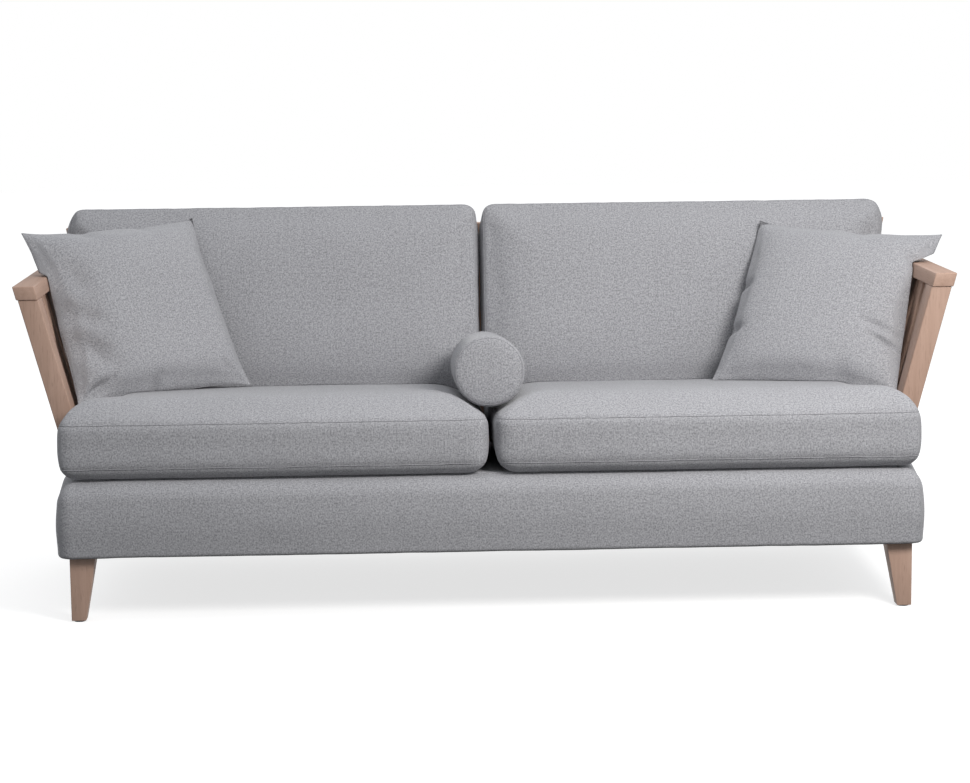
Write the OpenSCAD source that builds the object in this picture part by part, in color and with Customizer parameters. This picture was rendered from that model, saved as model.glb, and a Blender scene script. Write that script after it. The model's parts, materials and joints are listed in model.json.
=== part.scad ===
// Three-seat sofa with an upholstered base, splayed slatted wooden arms, a slatted
// reclined wooden back, tapered legs and loose cushions.
// The origin is on the floor, in the middle of the footprint. +Y points to the back.

/* [Base] */
// Width of the upholstered base
base_w = 1860; // [1700:10:2000]
// Depth of the upholstered base, front to back
base_d = 772; // [772:1:800]
// Height of the underside of the base above the floor
base_z = 142; // [120:1:170]
// Height of the top of the base above the floor
base_top = 305; // [295:1:320]
// Radius of the upright corners of the base
base_corner_r = 30; // [15:1:45]
// Thickness of the padded upholstery on the base
padding = 14; // [8:1:18]

/* [Legs] */
// Side of the square leg at its top
leg_top = 56; // [45:1:70]
// Side of the square leg at the floor
leg_foot = 31; // [25:1:44]
// Distance from the end of the base to the outer side of the leg
leg_inset = 24; // [18:1:40]
// Thickness of the glide under each leg
glide_h = 3; // [2:0.5:5]

/* [Arms] */
// Lean of the arms out from upright, in degrees
splay = 14.8; // [8:0.2:18]
// Thickness of the posts, slats and rails of the arms across the sofa
arm_t = 44; // [34:1:46]
// Depth of the front post, front to back
post_d = 60; // [50:5:110]
// Setback of the front post behind the front of the base
post_y = 178; // [160:1:200]
// Height of the top of the arm rail above the floor
arm_top = 709; // [680:1:730]
// Height of the arm rail
rail_h = 30; // [24:1:40]
// Number of slats in each arm
arm_slats = 7; // [4:1:8]
// Width of an arm slat, front to back
arm_slat_w = 42; // [30:1:45]
// Thickness of an arm slat
arm_slat_t = 18; // [12:1:22]

/* [Back] */
// Lean of the back from upright, in degrees
recline = 16; // [10:1:18]
// Distance from the front of the base to the back frame, at the top of the base
back_y = 722; // [715:1:730]
// Height of the top of the back frame above the floor
back_top = 780; // [740:1:800]
// Thickness of the back frame
back_t = 34; // [28:1:36]
// Number of slats in each half of the back
back_slats = 8; // [5:1:10]
// Width of a back slat
back_slat_w = 45; // [35:1:60]

/* [Seat] */
// Slope of the deck and the seat, down to the back, in degrees
seat_slope = 4; // [2:0.5:4]
// Width of one seat cushion at its front
seat_w = 920; // [800:1:980]
// Depth of a seat cushion
seat_d = 694; // [640:1:696]
// Height of the cushion's border between its two seams
seat_border = 88; // [70:1:100]
// Thickness of a seat cushion at its crown, near the front
seat_t = 157; // [130:1:165]
// Thickness of a seat cushion at its back
seat_t_back = 139; // [120:1:145]

/* [Back cushions] */
// Thickness of a back cushion at its crown
bc_t = 192; // [150:1:194]
// Height of the top of the back cushions above the floor
bc_top = 832; // [790:1:850]

/* [Loose pieces] */
// Side of a throw pillow between its corners
pillow_side = 430; // [380:5:440]
// Thickness of a throw pillow in its middle
pillow_t = 138; // [110:1:150]
// Radius of the neck roll
roll_r = 80; // [65:1:82]
// Length of the neck roll
roll_l = 380; // [320:5:400]

/* [Hidden] */

wood = "#c9a98f";
hidden_wood = "#d8c29a";
fabric = "#9f9fa4";
steel = "#b8bcc0";
black_cloth = "#2b2b2d";
strap_brown = "#8a7f72";

// The back frame's top edge is the rearmost point, and the base's front the foremost.
back_lean = tan(recline);
overall_d = back_y + (back_top - base_top) * back_lean + back_t / cos(recline);
front_y = -overall_d / 2;
rear_y = front_y + base_d;
half_w = base_w / 2;
arm_lean = tan(splay);

// Arms: inner face of an arm at a height above the floor
arm_foot_x = 876;
sill_h = 28;
sill_z = base_top - sill_h;
sill_in = 872;
rail_over = 3;
function arm_x(z) = arm_foot_x + (z - base_top) * arm_lean;

// Back: front face of the back frame at a height above the floor
function back_front(z) = front_y + back_y + (z - base_top) * back_lean;
back_rail_h = 52;
back_sill_h = 45;
back_sill_z = base_top - 20;
post_foot_t = 40;

// Base frame
rail_t = 24;
rail_z = base_z + 8;
rail_top = base_top - padding - 1;
back_rail_t = 35;
side_in = 890;
lip = rail_t;
cloth_t = 1.5;
strap_t = 2.5;
strap_w = 70;
deck_z = 311;

// Fasteners
bolt_r = 4;
bolt_fit = 0.2;
bolt_head_r = 9;
bolt_head_h = 4;
plate_side = 52;
plate_t = 3;

// Loose pieces keep this much air round them
air = 2;
seat_z = deck_z + 5;
seat_ear_d = post_y - 24;
seat_narrow = 866;
seat_gap = 3;
bc_gap = 4;
bc_foot_out = 903;
bc_lean_out = 0.2;

// Draws its children in the left half as well, as a mirror image
module both_sides() {
  children();
  mirror([1, 0, 0]) children();
}

// A bar of an arm: its section is a parallelogram that leans outwards, level at its ends
module splayed_bar(x_off, w, z0, z1, y0, y1) {
  translate([0, y1, 0])
    rotate([90, 0, 0])
      linear_extrude(height = y1 - y0)
        polygon([
          [arm_x(z0) + x_off, z0], [arm_x(z0) + x_off + w, z0],
          [arm_x(z1) + x_off + w, z1], [arm_x(z1) + x_off, z1]
        ]);
}

// A board between two X positions that follows the lean of the back, level at its ends
module reclined_board(x0, x1, z0, z1, t, inset = 0) {
  translate([x0, 0, 0])
    rotate([90, 0, 90])
      linear_extrude(height = x1 - x0)
        polygon([
          [back_front(z0) + inset, z0], [back_front(z0) + inset + t, z0],
          [back_front(z1) + inset + t, z1], [back_front(z1) + inset, z1]
        ]);
}

// Block with the outline of the base, set in all round and with rounded upright corners
module base_block(inset, z0, z1) {
  r = max(base_corner_r - inset, 6);
  hx = half_w - inset;
  translate([0, 0, z0])
    linear_extrude(height = z1 - z0)
      union() {
        translate([-hx + r, front_y + inset]) square([2 * (hx - r), base_d - 2 * inset]);
        translate([-hx, front_y + inset + r]) square([2 * hx, base_d - 2 * (inset + r)]);
        for (sx = [-1, 1])
          for (cy = [front_y + inset + r, rear_y - inset - r])
            translate([sx * (hx - r), cy]) circle(r = r, $fn = 48);
      }
}

// Frame of the deck: its Y runs back along the slope, and Z = 0 is the deck's upper side
module on_deck(y = 0, z = 0) {
  translate([0, front_y, deck_z])
    rotate([-seat_slope, 0, 0])
      translate([0, y, z]) children();
}

// ---- Base frame ----

module front_base_rail() {
  color(hidden_wood)
    translate([-side_in, front_y + padding, rail_z])
      cube([2 * side_in, rail_t, rail_top - rail_z]);
}

// Room for the corner blocks in the lower corners of the back rail
module corner_notches() {
  both_sides()
    translate([side_in - block_side, front_y + back_y - 1, rail_z - 1])
      cube([block_side + 1, back_rail_t + 2, block_h + 1]);
}

module back_base_rail() {
  color(hidden_wood)
    difference() {
      translate([-side_in, front_y + back_y, rail_z])
        cube([2 * side_in, back_rail_t, back_sill_z - rail_z]);
      corner_notches();
      for (x = back_bolt_x)
        translate([x, front_y + back_y + back_rail_t / 2, rail_z - 1])
          cylinder(h = back_sill_z, r = bolt_r + bolt_fit, $fn = 32);
    }
}

module right_base_rail() {
  color(hidden_wood)
    difference() {
      intersection() {
        translate([side_in, front_y + padding, rail_z])
          cube([rail_t, base_d - 2 * padding, sill_z - rail_z]);
        base_block(padding + 0.5, rail_z - 1, sill_z + 1);
      }
      for (y = arm_bolt_y)
        translate([side_in + rail_t / 2, y, rail_z - 1])
          cylinder(h = sill_z, r = bolt_r + bolt_fit, $fn = 32);
    }
}

module left_base_rail() {
  mirror([1, 0, 0]) right_base_rail();
}

module centre_base_rail() {
  color(hidden_wood)
    translate([-rail_t / 2, front_y + padding + rail_t, rail_z])
      cube([rail_t, back_y - padding - rail_t, 70]);
}

block_side = leg_inset + leg_top - padding - rail_t + 12;
block_h = 40;

// Blocks that brace the corners of the frame and take the leg bolts
module corner_blocks() {
  color(hidden_wood)
    both_sides()
      for (place = [
        [front_y + padding + rail_t, front_leg_bolt_y],
        [front_y + back_y + back_rail_t - block_side, back_leg_bolt_y]
      ])
        difference() {
          translate([side_in - block_side, place[0], rail_z]) cube([block_side, block_side, block_h]);
          translate([leg_bolt_x, place[1], rail_z - 1])
            cylinder(h = block_h + 2, r = bolt_r + bolt_fit, $fn = 32);
        }
}

batten_w = 26;
batten_h = 20;
front_batten_y = padding + rail_t + 2;
back_batten_y = (back_y - batten_w) / cos(seat_slope) - 3;

webbing_z = -strap_t * 2 - cloth_t;
batten_x = sill_in - 3;

module front_webbing_batten() {
  color(hidden_wood)
    on_deck(front_batten_y, webbing_z - batten_h)
      translate([-batten_x, 0, 0]) cube([2 * batten_x, batten_w, batten_h]);
}

module back_webbing_batten() {
  color(hidden_wood)
    on_deck(back_batten_y, webbing_z - batten_h)
      translate([-batten_x, 0, 0]) cube([2 * batten_x, batten_w, batten_h]);
}

module side_webbing_battens() {
  side_y = front_batten_y + batten_w;
  color(hidden_wood)
    both_sides()
      on_deck(side_y, webbing_z + strap_t - batten_h)
        translate([batten_x - batten_w + 2, 0, 0])
          cube([batten_w - 2, back_batten_y - side_y, batten_h]);
}

strap_count = 14;
strap_x = batten_x - batten_w - strap_w / 2;
strap_step = 2 * strap_x / (strap_count - 1);

// Elastic straps from the front batten to the back one
module lengthwise_webbing() {
  color(strap_brown)
    on_deck(front_batten_y, webbing_z)
      for (i = [0 : strap_count - 1])
        translate([-strap_x + i * strap_step - strap_w / 2, 0, 0])
          cube([strap_w, back_batten_y - front_batten_y + batten_w, strap_t]);
}

cross_count = 4;
cross_in = 130;
cross_step = 145;

// Elastic straps from side to side, over the lengthwise ones
module crosswise_webbing() {
  color(strap_brown)
    on_deck(0, -strap_t - cloth_t)
      for (i = [0 : cross_count - 1])
        translate([-batten_x, cross_in + i * cross_step, 0])
          cube([2 * batten_x, strap_w, strap_t]);
}

module deck_cloth() {
  color(fabric)
    on_deck(front_batten_y, -cloth_t)
      translate([-batten_x, 0, 0])
        cube([2 * batten_x, back_batten_y - front_batten_y + batten_w, cloth_t]);
}

dust_in = padding + 4;
leg_middle = leg_inset + leg_top / 2;

// Cloth that closes the underside, cut out round the legs
module dust_cover() {
  color(black_cloth)
    difference() {
      base_block(dust_in, base_z + 1, base_z + 1 + cloth_t);
      both_sides()
        for (y = [front_y + leg_middle, rear_y - leg_middle])
          translate([half_w - leg_middle, y, base_z])
            cube([leg_top + 4, leg_top + 4, 6 * cloth_t], center = true);
    }
}

// ---- Base upholstery: a padded wall all round, with a lip over the front and the back ----

module upholstery_ring() {
  difference() {
    base_block(0, base_z, base_top);
    base_block(padding, base_z - 1, base_top - padding);
    base_block(padding, base_top - padding - 1, base_top + 1);
  }
}

module front_base_upholstery() {
  color(fabric) {
    intersection() {
      upholstery_ring();
      translate([-half_w - 1, front_y - 1, 0]) cube([base_w + 2, base_corner_r + 11, base_top + 1]);
    }
    translate([-side_in, front_y + padding, base_top - padding])
      cube([2 * side_in, lip, padding]);
  }
}

module back_base_upholstery() {
  color(fabric)
    intersection() {
      upholstery_ring();
      translate([-half_w - 1, rear_y - base_corner_r - 10, 0])
        cube([base_w + 2, base_corner_r + 11, base_top + 1]);
    }
}

// The side wall, with a lip over the frame between the front and the arm
module right_base_upholstery() {
  lip_y = front_y + padding + lip;
  color(fabric) {
    intersection() {
      upholstery_ring();
      translate([half_w - padding - 1, front_y + base_corner_r + 10, 0])
        cube([padding + 2, base_d - 2 * base_corner_r - 20, base_top + 1]);
    }
    translate([sill_in, lip_y, base_top - padding])
      cube([half_w - padding - sill_in, sill_front_y - lip_y, padding]);
  }
}

module left_base_upholstery() {
  mirror([1, 0, 0]) right_base_upholstery();
}

// ---- Legs ----

leg_bolt_in = 34;
leg_out_x = half_w - leg_inset;
leg_bolt_x = leg_out_x - leg_bolt_in;
leg_front_y = front_y + leg_inset;
leg_back_y = rear_y - leg_inset;
plate_z = rail_z - plate_t;
leg_h = plate_z - glide_h;
leg_bore = 40;
front_leg_bolt_y = leg_front_y + leg_bolt_in;
back_leg_bolt_y = leg_back_y - leg_bolt_in;

// One leg, with its outer sides upright and its inner sides tapered
module leg_body() {
  intersection() {
    translate([0, 0, glide_h])
      rotate([90, 0, 0])
        translate([0, 0, -leg_top])
          linear_extrude(height = leg_top)
            polygon([[0, 0], [0, leg_h], [-leg_top, leg_h], [-leg_foot, 0]]);
    translate([-leg_top, 0, glide_h])
      rotate([90, 0, 90])
        linear_extrude(height = leg_top)
          polygon([[0, 0], [leg_foot, 0], [leg_top, leg_h], [0, leg_h]]);
  }
}

module front_right_leg() {
  color(wood)
    difference() {
      translate([leg_out_x, leg_front_y, 0]) leg_body();
      translate([leg_bolt_x, front_leg_bolt_y, plate_z - leg_bore])
        cylinder(h = leg_bore + 1, r = bolt_r + bolt_fit, $fn = 32);
    }
}

module front_left_leg() {
  mirror([1, 0, 0]) front_right_leg();
}

module back_right_leg() {
  color(wood)
    difference() {
      translate([leg_out_x, leg_back_y, 0]) mirror([0, 1, 0]) leg_body();
      translate([leg_bolt_x, back_leg_bolt_y, plate_z - leg_bore])
        cylinder(h = leg_bore + 1, r = bolt_r + bolt_fit, $fn = 32);
    }
}

module back_left_leg() {
  mirror([1, 0, 0]) back_right_leg();
}

module leg_plates() {
  color(steel)
    both_sides()
      for (y = [front_leg_bolt_y, back_leg_bolt_y])
        difference() {
          translate([leg_bolt_x - plate_side / 2, y - plate_side / 2, plate_z])
            cube([plate_side, plate_side, plate_t]);
          translate([leg_bolt_x, y, plate_z - 1])
            cylinder(h = plate_t + 2, r = bolt_r + bolt_fit, $fn = 32);
        }
}

// Hanger bolts: a stud in the leg, through the plate and the corner block, with a nut
module leg_bolts() {
  stud_z = plate_z - leg_bore + 2;
  nut_z = rail_z + block_h;
  color(steel)
    both_sides()
      for (y = [front_leg_bolt_y, back_leg_bolt_y])
        translate([leg_bolt_x, y, 0]) {
          translate([0, 0, stud_z]) cylinder(h = nut_z - stud_z + 8, r = bolt_r, $fn = 32);
          translate([0, 0, nut_z]) cylinder(h = 6, r = bolt_head_r, $fn = 6);
        }
}

glide_r = 12;

module foot_glides() {
  color("#2e2c2a")
    both_sides()
      for (y = [leg_front_y + leg_foot / 2, leg_back_y - leg_foot / 2])
        translate([leg_out_x - leg_foot / 2, y, 0]) cylinder(h = glide_h, r = glide_r, $fn = 48);
}

// ---- Arms ----

arm_rail_z = arm_top - rail_h;
post_front_y = front_y + post_y;
sill_front_y = post_front_y - 8;
sill_back_y = back_front(sill_z) - 2;
arm_bolt_y = [post_front_y + post_d / 2, front_y + 430, front_y + 660];

module right_arm_sill() {
  color(wood)
    difference() {
      translate([sill_in, sill_front_y, sill_z])
        cube([half_w - padding - sill_in, sill_back_y - sill_front_y, sill_h]);
      for (y = arm_bolt_y)
        translate([side_in + rail_t / 2, y, sill_z - 1])
          cylinder(h = sill_h - 5, r = bolt_r + bolt_fit, $fn = 32);
    }
}

module right_front_post() {
  color(wood)
    splayed_bar(0, arm_t, base_top, arm_rail_z, post_front_y, post_front_y + post_d);
}

// The slats share out the length between the front post and the back post
module right_arm_slats() {
  first_y = post_front_y + post_d;
  last_y = back_front(base_top) - 2;
  gap = (last_y - first_y - arm_slats * arm_slat_w) / (arm_slats + 1);
  color(wood)
    for (i = [0 : arm_slats - 1])
      splayed_bar(
        (arm_t - arm_slat_t) / 2, arm_slat_t, base_top, arm_rail_z,
        first_y + gap + i * (arm_slat_w + gap), first_y + gap + i * (arm_slat_w + gap) + arm_slat_w
      );
}

// The arm's top rail stands proud of the post at the outside and the front, and laps the back post
module right_arm_rail() {
  color(wood)
    intersection() {
      splayed_bar(0, arm_t + rail_over, arm_rail_z, arm_top, post_front_y - rail_over, rear_y);
      reclined_board(0, base_w, arm_rail_z - 1, arm_top + 1, overall_d, board_t - overall_d);
    }
}

module left_arm_sill() {
  mirror([1, 0, 0]) right_arm_sill();
}

module left_front_post() {
  mirror([1, 0, 0]) right_front_post();
}

module left_arm_slats() {
  mirror([1, 0, 0]) right_arm_slats();
}

module left_arm_rail() {
  mirror([1, 0, 0]) right_arm_rail();
}

// Bolts up through the side rail of the base into the sill of the arm
module arm_bolts() {
  color(steel)
    both_sides()
      for (y = arm_bolt_y)
        translate([side_in + rail_t / 2, y, 0]) {
          translate([0, 0, rail_z]) cylinder(h = sill_z - rail_z + 18, r = bolt_r, $fn = 32);
          translate([0, 0, rail_z - bolt_head_h]) cylinder(h = bolt_head_h, r = bolt_head_r, $fn = 32);
        }
}

// ---- Back frame ----

// Space between the leaning end posts, or out to their outer sides, for trimming a rail's ends
module between_leaning_ends(z0, z1, x_off) {
  translate([0, overall_d, 0])
    rotate([90, 0, 0])
      linear_extrude(height = 2 * overall_d)
        polygon([
          [-arm_x(z0) - x_off, z0], [arm_x(z0) + x_off, z0],
          [arm_x(z1) + x_off, z1], [-arm_x(z1) - x_off, z1]
        ]);
}

back_bolt_x = [-780, -400, 400, 780];
back_slat_z0 = back_sill_z + back_sill_h;
back_slat_z1 = back_top - back_rail_h;
board_t = back_t / cos(recline);

// An end post leans back and outwards, just inside the arm: a sheared block between level outlines
module right_back_post() {
  z0 = back_sill_z;
  z1 = back_slat_z1;
  y0 = back_front(z0);
  y1 = back_front(z1);
  x0 = arm_x(z0) - post_foot_t;
  x1 = arm_x(z1) - post_foot_t;
  color(wood)
    polyhedron(
      points = [
        [x0, y0, z0], [x0 + post_foot_t, y0, z0],
        [x0 + post_foot_t, y0 + board_t, z0], [x0, y0 + board_t, z0],
        [x1, y1, z1], [x1 + post_foot_t, y1, z1],
        [x1 + post_foot_t, y1 + board_t, z1], [x1, y1 + board_t, z1]
      ],
      faces = [
        [0, 1, 2, 3], [7, 6, 5, 4], [0, 4, 5, 1],
        [1, 5, 6, 2], [2, 6, 7, 3], [3, 7, 4, 0]
      ]
    );
}

module left_back_post() {
  mirror([1, 0, 0]) right_back_post();
}

module centre_back_post() {
  color(wood) reclined_board(-post_foot_t / 2, post_foot_t / 2, back_slat_z0, back_slat_z1, board_t);
}

module back_bottom_rail() {
  color(wood)
    difference() {
      intersection() {
        reclined_board(-half_w, half_w, back_sill_z, back_slat_z0, board_t);
        between_leaning_ends(back_sill_z - 1, back_slat_z0 + 1, -post_foot_t);
      }
      for (x = back_bolt_x)
        translate([x, front_y + back_y + back_rail_t / 2, back_sill_z - 1])
          cylinder(h = 29, r = bolt_r + bolt_fit, $fn = 32);
    }
}

module back_top_rail() {
  color(wood)
    intersection() {
      reclined_board(-base_w, base_w, back_slat_z1, back_top, board_t);
      between_leaning_ends(back_slat_z1 - 1, back_top + 1, 0);
    }
}

// The slats of one half share out the width between the centre post and the end post
module right_back_slats() {
  inner = post_foot_t / 2;
  outer = arm_x(back_slat_z0) - post_foot_t;
  gap = (outer - inner - back_slats * back_slat_w) / (back_slats + 1);
  slat_t = 16 / cos(recline);
  color(wood)
    for (i = [0 : back_slats - 1])
      translate([inner + gap + i * (back_slat_w + gap), 0, 0])
        reclined_board(0, back_slat_w, back_slat_z0, back_slat_z1, slat_t, (board_t - slat_t) / 2);
}

module left_back_slats() {
  mirror([1, 0, 0]) right_back_slats();
}

// Bolts up through the back rail of the base into the bottom rail of the back frame
module back_bolts() {
  color(steel)
    for (x = back_bolt_x)
      translate([x, front_y + back_y + back_rail_t / 2, 0]) {
        translate([0, 0, rail_z]) cylinder(h = back_sill_z - rail_z + 26, r = bolt_r, $fn = 32);
        translate([0, 0, rail_z - bolt_head_h]) cylinder(h = bolt_head_h, r = bolt_head_r, $fn = 32);
      }
}

// ---- Loose cushions ----

// Upright rounded plate between two corners, for use inside a hull
module soft_plate(x0, x1, y0, y1, z0, z1, r) {
  for (x = [x0 + r, x1 - r])
    for (y = [y0 + r, y1 - r])
      translate([x, y, z0]) cylinder(h = z1 - z0, r = r, $fn = 24);
}

border_z0 = (seat_t - seat_border) / 2 - 9;
crown_in = 72;

// The body is narrow enough to pass between the arms, and an ear reaches out in front of the post
module right_seat_cushion() {
  x_in = seat_gap;
  x_out = seat_gap + seat_w;
  tilt = atan((seat_t - seat_t_back) / seat_d);
  color(fabric)
    translate([0, front_y + 5, seat_z])
      rotate([-seat_slope, 0, 0]) {
        hull() {
          soft_plate(x_in, seat_narrow, 0, seat_d, border_z0, border_z0 + seat_border - 6, 28);
          soft_plate(x_in + crown_in, seat_narrow - crown_in, crown_in, seat_d - 40, 0, 2, 28);
          translate([0, 0, seat_t - 2])
            rotate([-tilt, 0, 0])
              soft_plate(x_in + crown_in, seat_narrow - crown_in, crown_in, seat_d - 40, 0, 2, 28);
        }
        hull() {
          soft_plate(x_in + 200, x_out, 0, seat_ear_d, border_z0, border_z0 + seat_border, 28);
          soft_plate(x_in + 200, x_out - 45, 45, seat_ear_d - 8, 2, seat_t - 10, 20);
        }
      }
}

module left_seat_cushion() {
  mirror([1, 0, 0]) right_seat_cushion();
}

bc_z0 = 419;
bc_front_y = front_y + 560;
bc_r = 24;

// Rounded corner of a back cushion, for use inside a hull
module soft_corner(x, z, y_off, r) {
  translate([x, bc_front_y + (z - 430) * back_lean + y_off, z]) sphere(r = r, $fn = 24);
}

// A reclined block whose outer side leans out with the arm, crowned at the front and the top
module right_back_cushion() {
  crown = 22;
  x_in = bc_gap + bc_r;
  function x_out(z) = bc_foot_out + (z - 430) * bc_lean_out - bc_r;
  z_lo = bc_z0 + air + bc_r;
  z_hi = bc_top - bc_r - 12;
  color(fabric)
    hull() {
      for (z = [z_lo, z_hi]) {
        for (y = [crown + bc_r, bc_t - bc_r]) {
          soft_corner(x_in, z, y, bc_r);
          soft_corner(x_out(z), z, y, bc_r);
        }
      }
      for (z = [z_lo + 90, z_hi - 90])
        for (x = [x_in + 110, x_out(z) - 110])
          soft_corner(x, z, bc_r, bc_r);
      for (x = [x_in + 90, x_out(z_hi) - 90])
        soft_corner(x, bc_top - bc_r, bc_t / 2, bc_r);
    }
}

module left_back_cushion() {
  mirror([1, 0, 0]) right_back_cushion();
}

pillow_turn = 31.5;
pillow_lean = 34;
pillow_x = 762;
pillow_y = 448;
pillow_z = 628;
pillow_edge = 12;
pillow_mid_in = 110;
pillow_core_in = 220;
pillow_mid_share = 0.68;
pillow_squat = 10;

// A pillow in its own upright plane: thin at its edge and thick in the middle
module pillow_solid() {
  hull() {
    cube([pillow_side, pillow_edge, pillow_side - pillow_squat], center = true);
    cube([
      pillow_side - pillow_mid_in,
      pillow_t * pillow_mid_share,
      pillow_side - pillow_mid_in - pillow_squat
    ], center = true);
    cube([
      pillow_side - pillow_core_in,
      pillow_t,
      pillow_side - pillow_core_in - pillow_squat
    ], center = true);
  }
}

// The pillows lean back on the back cushion and out on the arm
module left_throw_pillow() {
  color(fabric)
    translate([-pillow_x, front_y + pillow_y, pillow_z])
      rotate([0, 0, pillow_turn])
        rotate([-pillow_lean, 0, 0]) pillow_solid();
}

module right_throw_pillow() {
  mirror([1, 0, 0]) left_throw_pillow();
}

roll_tilt = 5.4;
roll_front = 132;
roll_z = 518.5;
roll_edge = 16;

// A cylinder with rounded ends that lies in the valley between the seat cushions
module neck_roll() {
  color(fabric)
    translate([0, front_y + roll_front, roll_z])
      rotate([-90 - roll_tilt, 0, 0])
        rotate_extrude($fn = 96)
          union() {
            translate([0, roll_edge]) square([roll_r, roll_l - 2 * roll_edge]);
            square([roll_r - roll_edge, roll_l]);
            for (h = [roll_edge, roll_l - roll_edge])
              intersection() {
                translate([roll_r - roll_edge, h]) circle(r = roll_edge, $fn = 48);
                square([roll_r, roll_l]);
              }
          }
}

front_base_rail();
back_base_rail();
left_base_rail();
right_base_rail();
centre_base_rail();
corner_blocks();
front_webbing_batten();
back_webbing_batten();
side_webbing_battens();
lengthwise_webbing();
crosswise_webbing();
deck_cloth();
dust_cover();
front_base_upholstery();
back_base_upholstery();
left_base_upholstery();
right_base_upholstery();
front_left_leg();
front_right_leg();
back_left_leg();
back_right_leg();
leg_plates();
leg_bolts();
foot_glides();
left_arm_sill();
left_front_post();
left_arm_slats();
left_arm_rail();
right_arm_sill();
right_front_post();
right_arm_slats();
right_arm_rail();
arm_bolts();
left_back_post();
centre_back_post();
right_back_post();
back_bottom_rail();
back_top_rail();
left_back_slats();
right_back_slats();
back_bolts();
left_seat_cushion();
right_seat_cushion();
left_back_cushion();
right_back_cushion();
left_throw_pillow();
right_throw_pillow();
neck_roll();
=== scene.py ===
"""Looks of a sofa with an upholstered base, splayed slatted wooden arms and loose cushions.

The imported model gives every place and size. The wooden pieces are its own shapes with
softened edges. The cushions, pillows, neck roll and base cover are soft forms made here.
"""

import json
import math

import bmesh
import bpy
import numpy as np
from mathutils import Matrix, Vector, noise
from mathutils.bvhtree import BVHTree
from mathutils.kdtree import KDTree

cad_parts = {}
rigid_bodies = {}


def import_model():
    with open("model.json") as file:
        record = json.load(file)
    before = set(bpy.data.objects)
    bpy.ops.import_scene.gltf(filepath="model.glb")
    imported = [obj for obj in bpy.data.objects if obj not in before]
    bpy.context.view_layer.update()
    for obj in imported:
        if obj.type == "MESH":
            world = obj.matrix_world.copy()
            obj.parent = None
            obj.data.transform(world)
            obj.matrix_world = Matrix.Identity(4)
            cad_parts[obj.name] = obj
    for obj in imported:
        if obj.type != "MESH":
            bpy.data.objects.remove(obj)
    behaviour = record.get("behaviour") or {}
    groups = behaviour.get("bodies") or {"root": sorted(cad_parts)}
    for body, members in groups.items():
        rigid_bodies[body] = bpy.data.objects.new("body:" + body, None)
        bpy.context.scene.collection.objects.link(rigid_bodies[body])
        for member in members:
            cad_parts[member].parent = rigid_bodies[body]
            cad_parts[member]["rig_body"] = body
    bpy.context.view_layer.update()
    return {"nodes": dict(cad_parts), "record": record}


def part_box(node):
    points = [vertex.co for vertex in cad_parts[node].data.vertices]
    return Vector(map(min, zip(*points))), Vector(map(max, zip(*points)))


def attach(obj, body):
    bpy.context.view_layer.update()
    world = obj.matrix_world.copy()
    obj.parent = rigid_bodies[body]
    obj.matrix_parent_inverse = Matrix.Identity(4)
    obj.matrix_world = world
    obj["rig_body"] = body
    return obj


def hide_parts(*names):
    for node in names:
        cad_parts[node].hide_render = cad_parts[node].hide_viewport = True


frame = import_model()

SCENE = bpy.context.scene
ROOT = "root_frame"

# ---------------------------------------------------------------- places and sizes, in metres

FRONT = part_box("front_base_upholstery")[0].y
BASE_HALF_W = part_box("front_base_upholstery")[1].x
BASE_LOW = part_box("front_base_upholstery")[0].z
BASE_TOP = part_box("front_base_upholstery")[1].z
BASE_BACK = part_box("back_base_upholstery")[1].y
BASE_CORNER_R = 0.032
POST_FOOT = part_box("right_front_post")[0]
RAIL_LOW, RAIL_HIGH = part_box("right_arm_rail")
ARM_LEAN = (RAIL_LOW.x - POST_FOOT.x) / (RAIL_LOW.z - POST_FOOT.z)

SEAT_SLOPE = math.radians(4)
SEAT_FRONT = 0.005
SEAT_Z = 0.316
SEAT_INNER = 0.0075
SEAT_BODY = 0.866
SEAT_EAR = 0.923
SEAT_EAR_D = 0.152
SEAT_D = 0.690
SEAM_LOW = 0.0295
SEAM_HIGH = 0.1135
SEAT_CROWN = 0.048
SEAT_UNDER = 0.0310
SEAT_THINNING = 0.018
SEAT_DROOP = 0.014
SEAT_DROOP_Y = (0.020, 0.050)
SEAT_FULL_X = (0.62, 0.86)
SEAT_FULL = 0.8
VOXEL = 0.0095

RECLINE = math.radians(16)
BACK_LIFT = next(j["range_m"][1] for j in frame["record"]["behaviour"]["joints"]
                 if j["name"] == "left_back_lift")
BACK_FACE_Y = 0.560
BACK_FACE_Z = 0.430
BACK_T = 0.184
BACK_INNER = 0.0045
BACK_BOTTOM = -0.024
BACK_TOP = 0.436
BACK_BOTTOM_OUT = 0.894
BACK_TOP_OUT = {"left": 0.999, "right": 0.985}

PILLOW_T = 0.134
# Each pillow's middle, turn, lean, tilt in its own plane, and side
PILLOW_POSES = {
    "left": ((-0.790, 0.450, 0.624), 33.5, 33.0, -1.2, 0.440),
    "right": ((0.790, 0.446, 0.605), -26.0, 39.0, 3.0, 0.444),
}
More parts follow.
